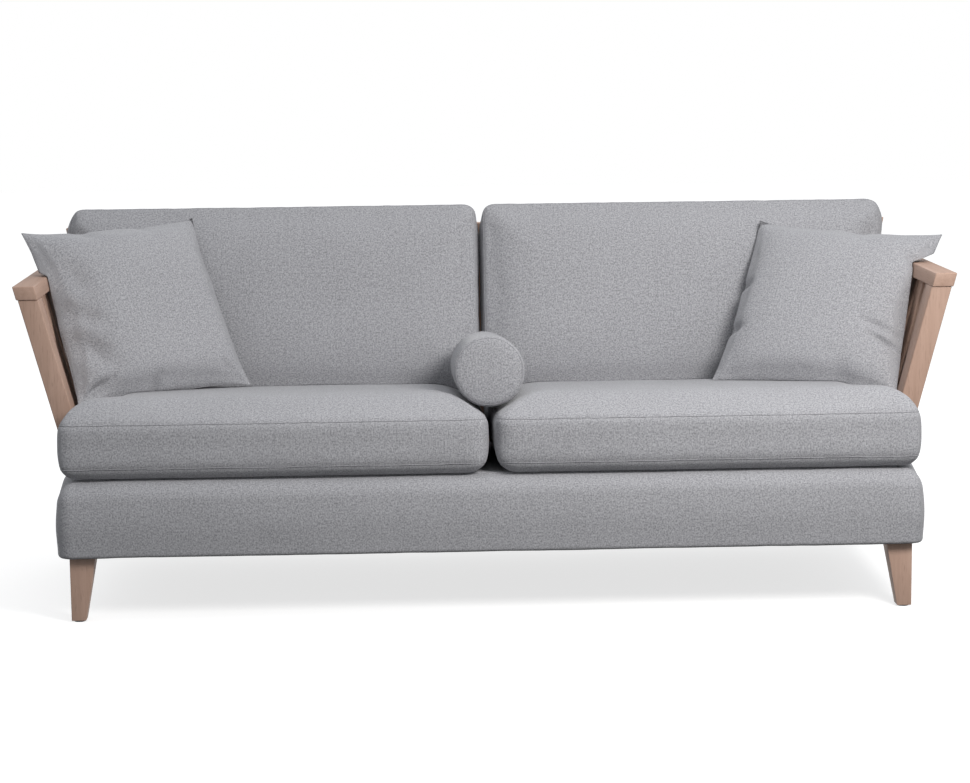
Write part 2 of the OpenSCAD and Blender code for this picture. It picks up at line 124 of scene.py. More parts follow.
# Folds on a pillow: both ends across and up its face, as shares of its half side, depth and width
PILLOW_FOLDS = {
    "left": [
        ((-0.80, 0.62), (-0.66, 0.10), 0.015, 0.034), ((-0.88, 0.02), (-0.60, -0.22), 0.014, 0.026),
        ((-0.86, -0.30), (-0.62, -0.66), 0.018, 0.028), ((-0.90, -0.92), (-0.62, -0.82), 0.016, 0.012),
        ((-0.16, -0.99), (-0.11, -0.84), 0.008, 0.011), ((0.84, -0.90), (0.66, -0.78), 0.004, 0.012),
        ((-0.42, 0.99), (-0.30, 0.78), 0.008, 0.022), ((0.30, 0.99), (0.36, 0.80), 0.005, 0.020),
    ],
    "right": [
        ((0.62, -0.42), (0.90, -0.50), 0.015, 0.0065), ((0.50, -0.27), (0.86, -0.36), 0.010, 0.009),
        ((-0.99, 0.17), (-0.84, 0.14), 0.010, 0.011), ((-0.99, -0.38), (-0.78, -0.42), 0.011, 0.012),
        ((0.74, 0.64), (0.98, 0.46), 0.011, 0.013), ((0.10, 0.99), (0.24, 0.76), 0.007, 0.026),
        ((0.40, -0.99), (0.32, -0.72), 0.006, 0.030),
    ],
}

ROLL_TILT = math.radians(5.4)
ROLL_FRONT = 0.132
ROLL_Z = 0.5135
ROLL_R = 0.0775
ROLL_L = 0.380


# ---------------------------------------------------------------- camera, light and floor

CAMERA_LENS = 90.9
CAMERA_PLACE = (-0.192, FRONT - 5.1275, 1.249)
CAMERA_TURN = -1.98
CAMERA_DOWN = 8.42
CAMERA_ROLL = -0.65
KEY_WATTS = 66
FILL_WATTS = 20
DOME_LEVEL = 0.37
DOME_RISE = 0.54
DOME_BACK = 0.10
FLOOR_HALF = 14.0


def link(obj):
    SCENE.collection.objects.link(obj)
    return obj


def make_camera():
    """The main view: a long lens, a little left of the middle and above the sofa."""
    data = bpy.data.cameras.new("camera")
    data.sensor_width = 36
    data.lens = CAMERA_LENS
    cam = link(bpy.data.objects.new("camera", data))
    turn = Matrix.Rotation(math.radians(CAMERA_TURN), 4, "Z")
    pitch = Matrix.Rotation(math.radians(90 - CAMERA_DOWN), 4, "X")
    roll = Matrix.Rotation(math.radians(CAMERA_ROLL), 4, "Z")
    cam.matrix_world = Matrix.Translation(CAMERA_PLACE) @ turn @ pitch @ roll
    SCENE.camera = cam


def add_area_light(name, place, target, size, watts, colour):
    data = bpy.data.lights.new(name, "AREA")
    data.shape = "DISK"
    data.size = size
    data.energy = watts
    data.color = colour
    lamp = link(bpy.data.objects.new(name, data))
    lamp.location = place
    lamp.rotation_mode = "QUATERNION"
    lamp.rotation_quaternion = (Vector(target) - Vector(place)).to_track_quat("-Z", "Y")


def make_light():
    """A soft key light at the right, a weak fill behind, and a dome that is dark below."""
    warm, neutral = (1.0, 0.985, 0.965), (1.0, 1.0, 1.0)
    add_area_light("key", (1.25, FRONT - 1.75, 2.05), (-0.15, 0.1, 0.35), 1.0, KEY_WATTS, warm)
    add_area_light("back_fill", (0.2, 2.9, 2.0), (0, 0.3, 0.45), 2.4, FILL_WATTS, neutral)
    world = bpy.data.worlds.new("studio")
    SCENE.world = world
    world.use_nodes = True
    g = Graph(world.node_tree)
    nodes = world.node_tree.nodes
    direction = g.node("SeparateXYZ")
    g.join(g.node("TexCoord").outputs["Generated"], direction.inputs[0])
    rise_part = g.math("MULTIPLY_ADD", direction.outputs["Z"], DOME_RISE, DOME_LEVEL)
    glow = g.math("MAXIMUM", g.math("MULTIPLY_ADD", direction.outputs["Y"], DOME_BACK, rise_part), 0.03)
    nodes["Background"].inputs["Color"].default_value = (0.955, 0.975, 1.0, 1)
    g.join(glow, nodes["Background"].inputs["Strength"])
    white = g.node("Background")
    white.inputs["Color"].default_value = (1, 1, 1, 1)
    mix = g.node("MixShader")
    g.join(g.node("LightPath").outputs["Is Camera Ray"], mix.inputs["Fac"])
    g.join(nodes["Background"].outputs[0], mix.inputs[1])
    g.join(white.outputs[0], mix.inputs[2])
    g.join(mix.outputs[0], nodes["World Output"].inputs["Surface"])
    SCENE.view_settings.view_transform = "Standard"


def make_floor():
    mesh = bpy.data.meshes.new("floor")
    corners = [(-1, -1), (1, -1), (1, 1), (-1, 1)]
    mesh.from_pydata([(x * FLOOR_HALF, y * FLOOR_HALF, 0) for x, y in corners], [], [(0, 1, 2, 3)])
    floor = link(bpy.data.objects.new("floor", mesh))
    mat, shader, _ = new_material("pale_floor")
    shader.inputs["Base Color"].default_value = (0.45, 0.45, 0.45, 1)
    shader.inputs["Roughness"].default_value = 0.9
    shader.inputs["Specular IOR Level"].default_value = 0.0
    shader.inputs["Emission Color"].default_value = (1, 1, 1, 1)
    shader.inputs["Emission Strength"].default_value = 0.72
    mesh.materials.append(mat)
    floor.visible_diffuse = False


# ---------------------------------------------------------------- materials

def new_material(name):
    """A new material, its shader, and the graph that more nodes are added to."""
    mat = bpy.data.materials.new(name)
    mat.use_nodes = True
    return mat, mat.node_tree.nodes["Principled BSDF"], Graph(mat.node_tree)


class Graph:
    """Short calls for adding shader nodes to one material."""

    def __init__(self, tree):
        self.tree = tree

    def node(self, kind, **settings):
        n = self.tree.nodes.new("ShaderNode" + kind)
        for key, value in settings.items():
            setattr(n, key, value)
        return n

    def join(self, source, target):
        self.tree.links.new(source, target)

    def put(self, target, value):
        if isinstance(value, bpy.types.NodeSocket):
            self.join(value, target)
        else:
            target.default_value = value

    def math(self, operation, a, b=0.0, c=0.0):
        n = self.node("Math", operation=operation)
        for target, value in zip(n.inputs, (a, b, c)):
            self.put(target, value)
        return n.outputs[0]

    def noise(self, vector, scale, detail=2.0, rough=0.5, distort=0.0):
        n = self.node("TexNoise")
        self.put(n.inputs["Vector"], vector)
        self.put(n.inputs["Scale"], scale)
        self.put(n.inputs["Detail"], detail)
        self.put(n.inputs["Roughness"], rough)
        self.put(n.inputs["Distortion"], distort)
        return n.outputs["Fac"]

    def stretch(self, vector, scale):
        n = self.node("Mapping")
        self.join(vector, n.inputs["Vector"])
        n.inputs["Scale"].default_value = scale
        return n.outputs["Vector"]

    def ramp(self, fac, stops):
        n = self.node("ValToRGB")
        self.join(fac, n.inputs["Fac"])
        ends = n.color_ramp.elements
        ends[0].position, ends[0].color = stops[0][0], (*stops[0][1], 1)
        ends[1].position, ends[1].color = stops[-1][0], (*stops[-1][1], 1)
        for place, colour in stops[1:-1]:
            ends.new(place).color = (*colour, 1)
        return n.outputs["Color"]

    def mix(self, fac, a, b):
        n = self.node("Mix", data_type="RGBA")
        self.put(n.inputs["Factor"], fac)
        first, second = [s for s in n.inputs if s.type == "RGBA"]
        self.put(first, a)
        self.put(second, b)
        return next(o for o in n.outputs if o.type == "RGBA")


def cloth_plane(g):
    """Two coordinates that run along the surface, whichever way it faces, for a weave."""
    coords = g.node("TexCoord")
    place = g.node("SeparateXYZ")
    g.join(coords.outputs["Object"], place.inputs[0])
    facing = g.node("SeparateXYZ")
    g.join(coords.outputs["Normal"], facing.inputs[0])
    sideways = g.node("MapRange", interpolation_type="SMOOTHSTEP")
    g.join(g.math("ABSOLUTE", facing.outputs["X"]), sideways.inputs["Value"])
    sideways.inputs["From Min"].default_value = 0.62
    sideways.inputs["From Max"].default_value = 0.78
    w = sideways.outputs["Result"]
    across = g.node("Mix")
    g.join(w, across.inputs["Factor"])
    g.join(place.outputs["X"], across.inputs["A"])
    g.join(place.outputs["Y"], across.inputs["B"])
    up = g.node("Mix")
    g.join(w, up.inputs["Factor"])
    turned = g.math("SIGN", g.math("MULTIPLY", facing.outputs["Y"], facing.outputs["Z"]))
    over_edge = g.math("SUBTRACT", place.outputs["Z"], g.math("MULTIPLY", turned, place.outputs["Y"]))
    g.join(over_edge, up.inputs["A"])
    g.join(place.outputs["Z"], up.inputs["B"])
    plane = g.node("CombineXYZ")
    g.join(across.outputs["Result"], plane.inputs["X"])
    g.join(up.outputs["Result"], plane.inputs["Y"])
    return plane.outputs[0]


def fabric_material(name, dark, light, yarn=0.0026):
    """Woven melange: slubby yarns of mixed greys in both directions, over and under each other."""
    mat, shader, g = new_material(name)
    plane = cloth_plane(g)
    weft = g.noise(g.stretch(plane, (0.42, 1, 1)), 0.62 / yarn, 2.0, 0.55)
    warp = g.noise(g.stretch(plane, (1, 0.36, 1)), 0.62 / yarn, 2.0, 0.55)
    fleck = g.noise(g.stretch(plane, (1, 0.8, 1)), 0.80 / yarn, 1.5, 0.6)
    bars = g.noise(g.stretch(plane, (1, 0.06, 1)), 95, 2.0, 0.5)
    cloud = g.noise(plane, 4.5, 2.0, 0.5)
    axis = g.node("SeparateXYZ")
    g.join(plane, axis.inputs[0])
    turns = math.tau / (2 * yarn)
    over_x = g.math("SINE", g.math("MULTIPLY", axis.outputs["X"], turns))
    over_y = g.math("SINE", g.math("MULTIPLY", axis.outputs["Y"], turns))
    weave = g.math("MULTIPLY", over_x, over_y)
    on_top = g.math("MULTIPLY_ADD", weave, 0.5, 0.5)
    yarns = g.node("Mix")
    g.join(on_top, yarns.inputs["Factor"])
    g.join(weft, yarns.inputs["A"])
    g.join(warp, yarns.inputs["B"])
    tone = g.math("MULTIPLY_ADD", fleck, 0.62, g.math("MULTIPLY", yarns.outputs["Result"], 0.38))
    tone = g.math("ADD", tone, g.math("MULTIPLY_ADD", cloud, 0.05, -0.025))
    tone = g.math("ADD", tone, g.math("MULTIPLY_ADD", bars, 0.05, -0.025))
    middle = tuple((a + b) / 2 for a, b in zip(dark, light))
    colour = g.ramp(tone, [(0.37, dark), (0.5, middle), (0.63, light)])
    g.join(colour, shader.inputs["Base Color"])
    shader.inputs["Roughness"].default_value = 0.92
    shader.inputs["Specular IOR Level"].default_value = 0.2
    shader.inputs["Sheen Weight"].default_value = 0.18
    shader.inputs["Sheen Roughness"].default_value = 0.45
    relief = g.math("MULTIPLY_ADD", tone, 0.7, g.math("MULTIPLY", g.math("ABSOLUTE", weave), 0.4))
    bump = g.node("Bump")
    bump.inputs["Strength"].default_value = 0.35
    bump.inputs["Distance"].default_value = 0.0011
    g.join(relief, bump.inputs["Height"])
    g.join(bump.outputs[0], shader.inputs["Normal"])
    return mat


def wood_material(name, grain_axis, pale, warm, seed):
    """Soaped light wood: soft streaks and short pores along one axis, with a whitish bloom."""
    mat, shader, g = new_material(name)
    coords = g.node("TexCoord")
    shift = g.node("VectorMath", operation="ADD")
    g.join(coords.outputs["Object"], shift.inputs[0])
    shift.inputs[1].default_value = (seed * 1.7, seed * 2.3, seed * 3.1)
    place = shift.outputs[0]

    def along(thin, long):
        return tuple(long if axis == grain_axis else thin for axis in "xyz")

    streaks = g.noise(g.stretch(place, along(1.0, 0.07)), 38, 4.0, 0.55, 0.4)
    rings = g.noise(g.stretch(place, along(1.0, 0.05)), 120, 3.0, 0.6, 0.2)
    pores = g.noise(g.stretch(place, along(1.0, 0.06)), 620, 1.0, 0.5)
    bloom = g.noise(place, 6, 2.0, 0.5)
    tone = g.math("MULTIPLY_ADD", streaks, 0.55, g.math("MULTIPLY", rings, 0.45))
    colour = g.ramp(tone, [(0.36, warm), (0.64, pale)])
    whiter = tuple(min(1.0, c * 1.12 + 0.03) for c in pale)
    veil = g.math("MULTIPLY", bloom, 0.35)
    colour = g.mix(veil, colour, (*whiter, 1))
    darker = tuple(c * 0.72 for c in warm)
    pits = g.node("MapRange")
    g.join(pores, pits.inputs["Value"])
    pits.inputs["From Min"].default_value = 0.62
    pits.inputs["From Max"].default_value = 0.72
    pits.inputs["To Max"].default_value = 0.45
    colour = g.mix(pits.outputs["Result"], colour, (*darker, 1))
    g.join(colour, shader.inputs["Base Color"])
    g.join(g.math("MULTIPLY_ADD", rings, 0.18, 0.45), shader.inputs["Roughness"])
    shader.inputs["Specular IOR Level"].default_value = 0.35
    bump = g.node("Bump")
    bump.inputs["Strength"].default_value = 0.25
    bump.inputs["Distance"].default_value = 0.0004
    g.join(g.math("SUBTRACT", rings, pits.outputs["Result"]), bump.inputs["Height"])
    g.join(bump.outputs[0], shader.inputs["Normal"])
    return mat


def plain_material(name, colour, rough, metal=0.0, grain=900.0, depth=0.0002):
    """A material with fine uneven colour and relief, for metal, plastic, cloth and webbing."""
    mat, shader, g = new_material(name)
    coords = g.node("TexCoord").outputs["Object"]
    fine = g.noise(coords, grain, 3.0, 0.6)
    low = tuple(c * 0.8 for c in colour)
    high = tuple(min(1.0, c * 1.2) for c in colour)
    g.join(g.ramp(fine, [(0.3, low), (0.7, high)]), shader.inputs["Base Color"])
    g.join(g.math("MULTIPLY_ADD", fine, 0.2, rough - 0.1), shader.inputs["Roughness"])
    shader.inputs["Metallic"].default_value = metal
    bump = g.node("Bump")
    bump.inputs["Strength"].default_value = 0.3
    bump.inputs["Distance"].default_value = depth
    g.join(fine, bump.inputs["Height"])
    g.join(bump.outputs[0], shader.inputs["Normal"])
    return mat


# ---------------------------------------------------------------- mesh helpers

def make_object(name, verts, faces, mat):
    mesh = bpy.data.meshes.new(name)
    mesh.from_pydata([tuple(v) for v in verts], [], faces)
    mesh.update()
    mesh.materials.append(mat)
    obj = link(bpy.data.objects.new(name, mesh))
    mesh.shade_smooth()
    return obj


def points_of(obj):
    co = np.empty(len(obj.data.vertices) * 3)
    obj.data.vertices.foreach_get("co", co)
    return co.reshape(-1, 3)


def set_points(obj, points):
    obj.data.vertices.foreach_set("co", np.ascontiguousarray(points, dtype=np.float64).ravel())
    obj.data.update()


def normals_of(obj):
    n = np.empty(len(obj.data.vertices) * 3)
    obj.data.vertices.foreach_get("normal", n)
    return n.reshape(-1, 3)


def bake_modifiers(obj):
    """Replaces the object's mesh with its evaluated one, with no modifier left."""
    bpy.context.view_layer.update()
    graph = bpy.context.evaluated_depsgraph_get()
    mesh = bpy.data.meshes.new_from_object(obj.evaluated_get(graph), depsgraph=graph)
    obj.modifiers.clear()
    old = obj.data
    obj.data = mesh
    bpy.data.meshes.remove(old)
    mesh.shade_smooth()


def subdivide(obj, levels=1):
    mod = obj.modifiers.new("smooth", "SUBSURF")
    mod.levels = levels
    mod.render_levels = levels
    bake_modifiers(obj)


def remeshed_boxes(name, boxes, voxel, mat):
    """One closed, even mesh round several boxes, each given by its low and high corner."""
    verts, faces = [], []
    for low, high in boxes:
        start = len(verts)
        for z in (low[2], high[2]):
            for x, y in ((low[0], low[1]), (high[0], low[1]), (high[0], high[1]), (low[0], high[1])):
                verts.append((x, y, z))
        for quad in ((3, 2, 1, 0), (4, 5, 6, 7), (0, 1, 5, 4), (1, 2, 6, 5), (2, 3, 7, 6), (3, 0, 4, 7)):
            faces.append(tuple(start + i for i in quad))
    obj = make_object(name, verts, faces, mat)
    mod = obj.modifiers.new("even", "REMESH")
    mod.mode = "VOXEL"
    mod.voxel_size = voxel
    bake_modifiers(obj)
    return obj


def rounded_outline(corners, step=0.012):
    """Closed outline through (x, y, radius) corners, counter-clockwise, with arcs at the corners."""
    points = []
    count = len(corners)
    for i in range(count):
        here = np.array(corners[i][:2])
        r = corners[i][2]
        to_last = np.array(corners[i - 1][:2]) - here
        to_next = np.array(corners[(i + 1) % count][:2]) - here
        to_last /= np.linalg.norm(to_last)
        to_next /= np.linalg.norm(to_next)
        half = math.acos(np.clip(to_last @ to_next, -1, 1)) / 2
        start = here + to_last * r / math.tan(half)
        end = here + to_next * r / math.tan(half)
        centre = here + (to_last + to_next) / np.linalg.norm(to_last + to_next) * r / math.sin(half)
        for t in np.linspace(0, 1, 9):
            p = start * (1 - t) + end * t - centre
            points.append(centre + p / np.linalg.norm(p) * r)
    dense = []
    for a, b in zip(points, points[1:] + points[:1]):
        parts = max(1, int(np.linalg.norm(b - a) / step))
        dense += [a + (b - a) * k / parts for k in range(parts)]
    return np.array(dense)


def without_straights(outline):
    """The outline's points that it really turns at."""
    before = outline - np.roll(outline, 1, axis=0)
    after = np.roll(outline, -1, axis=0) - outline
    turn = before[:, 0] * after[:, 1] - before[:, 1] * after[:, 0]
    return outline[np.abs(turn) > 1e-9]


def outline_distance(points, outline):
    """Signed distance of 2-D points to a closed outline, negative inside."""
    nearest = np.full(len(points), 1e9)
    inside = np.zeros(len(points), bool)
    for a, b in zip(outline, np.roll(outline, -1, axis=0)):
        edge = b - a
        rel = points - a
        t = np.clip(rel @ edge / (edge @ edge), 0, 1)
        nearest = np.minimum(nearest, np.linalg.norm(rel - t[:, None] * edge, axis=1))
        spans = (a[1] > points[:, 1]) != (b[1] > points[:, 1])
        if spans.any():
            x_at = a[0] + (points[:, 1] - a[1]) * edge[0] / (edge[1] if edge[1] else 1e-12)
            inside ^= spans & (points[:, 0] < x_at)
    return np.where(inside, -nearest, nearest)


def rise(t, power=2.3):
    """Crown profile: steep at the seam and flat in the middle."""
    return 1 - (1 - np.clip(t, 0, 1)) ** power


class BoxCushion:
    """A crowned cushion with a border: outline in the plane, z from one seam to the other."""

    def __init__(self, outline, low, high, crown, under, reach, reach_under, bulge, edge, thinning=0.0,
                 full=0.0, full_x=(0, 1)):
        self.full, self.full_x = full, full_x
        self.outline = outline
        self.turns = without_straights(outline)
        self.low, self.high = low, high
        self.crown, self.under = crown, under
        self.reach, self.reach_under = reach, reach_under
        self.bulge, self.edge = bulge, edge
        self.thinning = thinning

    def field(self, p):
        """Signed distance, roughly, of 3-D points to the cushion's surface."""
        d = outline_distance(p[:, :2], self.turns)
        inside = np.clip(-d, 0, None)
        outward = np.clip((p[:, 0] - self.full_x[0]) / (self.full_x[1] - self.full_x[0]), 0, 1)
        steep = 1 + self.full * outward * outward * (3 - 2 * outward)
        span = self.outline[:, 1].max() - self.outline[:, 1].min()
        slope = self.thinning * (p[:, 1] - self.outline[:, 1].min()) / span
        top = self.high + self.crown * rise(inside * steep / self.reach) - slope
        bottom = self.low - self.under * rise(inside / self.reach_under)
        height = np.clip((p[:, 2] - self.low) / (self.high - self.low), 0, 1)
        side = d - self.bulge * np.sin(math.pi * height) + self.edge
        flat = np.maximum(p[:, 2] - top, bottom - p[:, 2]) + self.edge
        outer = np.hypot(np.clip(side, 0, None), np.clip(flat, 0, None))
        return outer + np.minimum(np.maximum(side, flat), 0) - self.edge

    def settle(self, p, rounds=5):
        """Moves points onto the surface by Newton steps along the field's slope."""
        eps = 1e-4
        for _ in range(rounds):
            value = self.field(p)
            slope = np.empty_like(p)
            for axis in range(3):
                step = np.zeros(3)
                step[axis] = eps
                slope[:, axis] = (self.field(p + step) - value) / eps
            size = np.maximum((slope ** 2).sum(1), 0.3)
            p = p - (value / size)[:, None] * slope * 0.9
        return p

    def seam(self, top):
        """The seam's line round the cushion, above or below the border."""
        z = self.high if top else self.low
        return np.column_stack([self.outline, np.full(len(self.outline), z)])


def distance_to_lines(points, lines, spacing=0.003):
    """Distance from each point to the nearest of the closed lines."""
    dense = []
    for line in lines:
        for a, b in zip(line, np.roll(line, -1, axis=0)):
            parts = max(1, int(np.linalg.norm(b - a) / spacing))
            dense += [a + (b - a) * k / parts for k in range(parts)]
    tree = KDTree(len(dense))
    for i, p in enumerate(dense):
        tree.insert(p, i)
    tree.balance()
    return np.array([tree.find(p)[2] for p in points])


def inflate(obj, pressure, frames, caps):
    """Cloth simulation under air pressure with no gravity; caps is how far each point may move."""
    rest = points_of(obj)
    mod = obj.modifiers.new("puff", "CLOTH")
    cloth = mod.settings
    cloth.quality = 4
    cloth.mass = 0.35
    cloth.tension_stiffness = 18
    cloth.compression_stiffness = 18
    cloth.shear_stiffness = 6
    cloth.bending_stiffness = 0.6
    cloth.use_pressure = True
    cloth.uniform_pressure_force = pressure
    cloth.effector_weights.gravity = 0
    mod.collision_settings.use_collision = False
    mod.point_cache.frame_start = 1
    mod.point_cache.frame_end = frames
    for f in range(1, frames + 1):
        SCENE.frame_set(f)
    graph = bpy.context.evaluated_depsgraph_get()
    puffed = obj.evaluated_get(graph)
    moved = np.empty(len(rest) * 3)
    puffed.data.vertices.foreach_get("co", moved)
    obj.modifiers.clear()
    SCENE.frame_set(1)
    travel = moved.reshape(-1, 3) - rest
    length = np.linalg.norm(travel, axis=1)
    limit = np.minimum(1, caps / np.maximum(length, 1e-9))
    set_points(obj, rest + travel * limit[:, None])


def even_out(obj, rounds=6):
    """Smooths the small steps that remeshing leaves in a piece."""
    mod = obj.modifiers.new("even", "SMOOTH")
    mod.factor = 0.5
    mod.iterations = rounds
    bake_modifiers(obj)


def ripple(points, scale, seed):
    """Smooth noise from -1 to 1 at each point."""
    offset = Vector((seed * 13.7, seed * 7.1, seed * 3.3))
    return np.array([noise.noise(Vector(p) * scale + offset) for p in points])


def press_seams(obj, lines, depth, width, seed, pucker=0.0009, pucker_reach=0.035):
    """Draws the cloth in along its seams and puckers it a little beside them."""
    p = points_of(obj)
    n = normals_of(obj)
    near = distance_to_lines(p, lines)
    groove = depth * np.exp(-((near / width) ** 2))
    gathers = pucker * np.exp(-((near / pucker_reach) ** 2)) * ripple(p, 38, seed)
    sway = 0.0011 * ripple(p, 6.5, seed + 5) * np.clip(near / 0.06, 0, 1)
    set_points(obj, p + n * (gathers + sway - groove)[:, None])


def seam_cord(name, body, line, radius, mat, sides=6):
    """A thin raised line of stitched cloth that lies on the body's surface."""
    mesh = body.data
    tree = BVHTree.FromPolygons([v.co for v in mesh.vertices], [p.vertices[:] for p in mesh.polygons])
    route = []
    for p in line:
        hit, normal, _, _ = tree.find_nearest(Vector(p))
        route.append((np.array(hit), np.array(normal)))
    count = len(route)
    verts, faces = [], []
    for i, (here, up) in enumerate(route):
        along = route[(i + 1) % count][0] - route[i - 1][0]
        along = along / max(np.linalg.norm(along), 1e-9)
        across = np.cross(along, up)
        across /= max(np.linalg.norm(across), 1e-9)
        up = np.cross(across, along)
        for k in range(sides):
            a = math.tau * k / sides
            verts.append(here + across * math.cos(a) * radius + up * math.sin(a) * radius)
    for i in range(count):
        j = (i + 1) % count
        for k in range(sides):
            m = (k + 1) % sides
            faces.append((i * sides + k, i * sides + m, j * sides + m, j * sides + k))
    cord = make_object(name, verts, faces, mat)
    cord.matrix_world = body.matrix_world
    return cord


def world_tree(obj):
    """The object's surface in the row frame, for finding where another piece would touch it."""
    place = obj.matrix_world
    corners = [place @ v.co for v in obj.data.vertices]
    return BVHTree.FromPolygons(corners, [p.vertices[:] for p in obj.data.polygons])


def press_onto(obj, surface, direction, gap=0.0008, reach=0.14, shift=(0, 0, 0)):
    """Pushes back the points of a soft piece that would go into another one's shifted surface."""
    shift = Vector(shift)
    place = obj.matrix_world.copy()
    home = place.inverted()
    way = Vector(direction).normalized()
    for v in obj.data.vertices:
        start = place @ v.co - shift - way * reach
        hit = surface.ray_cast(start, way, reach + gap)[0]
        if hit is not None:
            v.co = home @ (hit + shift - way * gap)
    obj.data.update()


def mirrored(obj):
    """Turns the mesh into its mirror image about X = 0."""
    obj.data.transform(Matrix.Diagonal((-1, 1, 1, 1)))
    obj.data.flip_normals()


def finish_soft(obj, body, nodes):
    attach(obj, body)
    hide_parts(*nodes)


def finish_part(obj, body):
    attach(obj, body)


# ---------------------------------------------------------------- base cover and deck

LIP_INNER_X = 0.872
LIP_INNER_Y = FRONT + 0.0395
LIP_TOP = BASE_TOP + 0.0022
SILL_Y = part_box("right_arm_sill")[0].y


def base_edge(x, y):
    """Rounding of the base's top edge and the inner end of its lip, at a point of the outline."""
    front = np.clip((SILL_Y - 0.006 - y) / 0.035, 0, 1)
    front = front * front * (3 - 2 * front)
    fade = 1 - np.clip((y - FRONT - 0.02) / 0.13, 0, 1)
    fade = fade * fade * (3 - 2 * fade)
    corner = np.clip((abs(x) - 0.80) / 0.12, 0, 1)
    across = 0.018 + (0.0215 + 0.0055 * corner) * fade
    down = 0.030 + (0.014 + 0.010 * corner) * fade
    inner = (np.clip(x, -LIP_INNER_X, LIP_INNER_X), max(y, LIP_INNER_Y))
    return across, down, front, inner


def make_base_cover(mat):
    """One padded skin round the base. Its top edge is well rounded, and a lip covers the frame."""
    low, top = BASE_LOW, BASE_TOP
    outline = rounded_outline([
        (-BASE_HALF_W, FRONT, BASE_CORNER_R), (BASE_HALF_W, FRONT, BASE_CORNER_R),
        (BASE_HALF_W, BASE_BACK, BASE_CORNER_R), (-BASE_HALF_W, BASE_BACK, BASE_CORNER_R),
    ], step=0.010)
    tangent = np.roll(outline, -1, axis=0) - np.roll(outline, 1, axis=0)
    inward = np.column_stack([-tangent[:, 1], tangent[:, 0]])
    inward /= np.linalg.norm(inward, axis=1)[:, None]
    hem, foot = 0.0165, 0.008
    columns = []
    for (x, y), n in zip(outline, inward):
        across, down, front, inner = base_edge(x, y)
        column = [(hem, low + 0.018), (hem, low + 0.004), (hem - 0.002, low + 0.0012)]
        column += [(foot * (1 - math.sin(a)), low + foot * (1 - math.cos(a)))
                   for a in np.linspace(0.1, math.pi / 2, 5)]
        side = np.linspace(0.06, 0.94, 16)
        column += [(-0.0030 * math.sin(math.pi * t ** 1.25), low + foot + (top - low - foot - down) * t)
                   for t in side]
        column += [(across * (1 - math.cos(a)), top - down * (1 - math.sin(a)))
                   for a in np.linspace(0.0, math.pi / 2, 9)]
        points = [(x + n[0] * inset, y + n[1] * inset, z) for inset, z in column]
        start = np.array(points[-1])
        end = np.array([*inner, LIP_TOP]) if front > 0 else start + [n[0] * 0.0004, n[1] * 0.0004, 0]
        end = start + (end - start) * front
        points += [tuple(start + (end - start) * t) for t in (0.35, 0.7, 0.95)]
        points += [tuple(end - [0, 0, 0.002]), tuple(end - [0, 0, 0.014])]
        columns.append(points)
    count, rings = len(columns), len(columns[0])
    verts = [columns[k][i] for i in range(rings) for k in range(count)]
    faces = []
    for i in range(rings):
        for k in range(count):
            m, j = (k + 1) % count, (i + 1) % rings
            faces.append((i * count + k, i * count + m, j * count + m, j * count + k))
    skin = make_object("base_cover", verts, faces, mat)
    subdivide(skin)
    p = points_of(skin)
    amount = 0.0009 * ripple(p, 7, 2) + 0.0005 * ripple(p, 24, 4)
    quiet = np.where((p[:, 2] > BASE_TOP - 0.010) & (p[:, 1] > SILL_Y - 0.02), 0.0, 1.0)
    set_points(skin, p + normals_of(skin) * (amount * quiet)[:, None])
    finish_soft(skin, ROOT, ["front_base_upholstery", "back_base_upholstery",
                             "left_base_upholstery", "right_base_upholstery"])


def make_deck_lining(mat, nx=60, ny=30, thick=0.0012, room=0.0016):
    """A thin cloth that slopes back over the webbing, in the deck cloth's place."""
    low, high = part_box("deck_cloth")
    verts, faces = [], []
    for side in (0, 1):
        for j in range(ny + 1):
            for i in range(nx + 1):
                x = low.x + (high.x - low.x) * i / nx
                y = low.y + (high.y - low.y) * j / ny
                z = high.z - (high.z - low.z - room) * j / ny
                verts.append((x, y, z - thick * side))
    size = (nx + 1) * (ny + 1)
    for j in range(ny):
        for i in range(nx):
            a = j * (nx + 1) + i
            faces.append((a, a + 1, a + nx + 2, a + nx + 1))
            faces.append((size + a + nx + 1, size + a + nx + 2, size + a + 1, size + a))
    rim = list(range(nx)) + [nx + j * (nx + 1) for j in range(ny)]
    rim += [ny * (nx + 1) + i for i in range(nx, 0, -1)] + [j * (nx + 1) for j in range(ny, 0, -1)]
    for a, b in zip(rim, rim[1:] + rim[:1]):
        faces.append((b, a, size + a, size + b))
    lining = make_object("deck_lining", verts, faces, mat)
    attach(lining, ROOT)
    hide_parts("deck_cloth")


# ---------------------------------------------------------------- seat cushions

SEAT_FRAME = Matrix.Translation((0, FRONT + SEAT_FRONT, SEAT_Z)) @ Matrix.Rotation(-SEAT_SLOPE, 4, "X")


def roll_line(length):
    """A point on the neck roll's axis, in the row frame, at a distance from its front end."""
    run = length * math.cos(ROLL_TILT)
    return np.array([0, FRONT + ROLL_FRONT + run, ROLL_Z - length * math.sin(ROLL_TILT)])


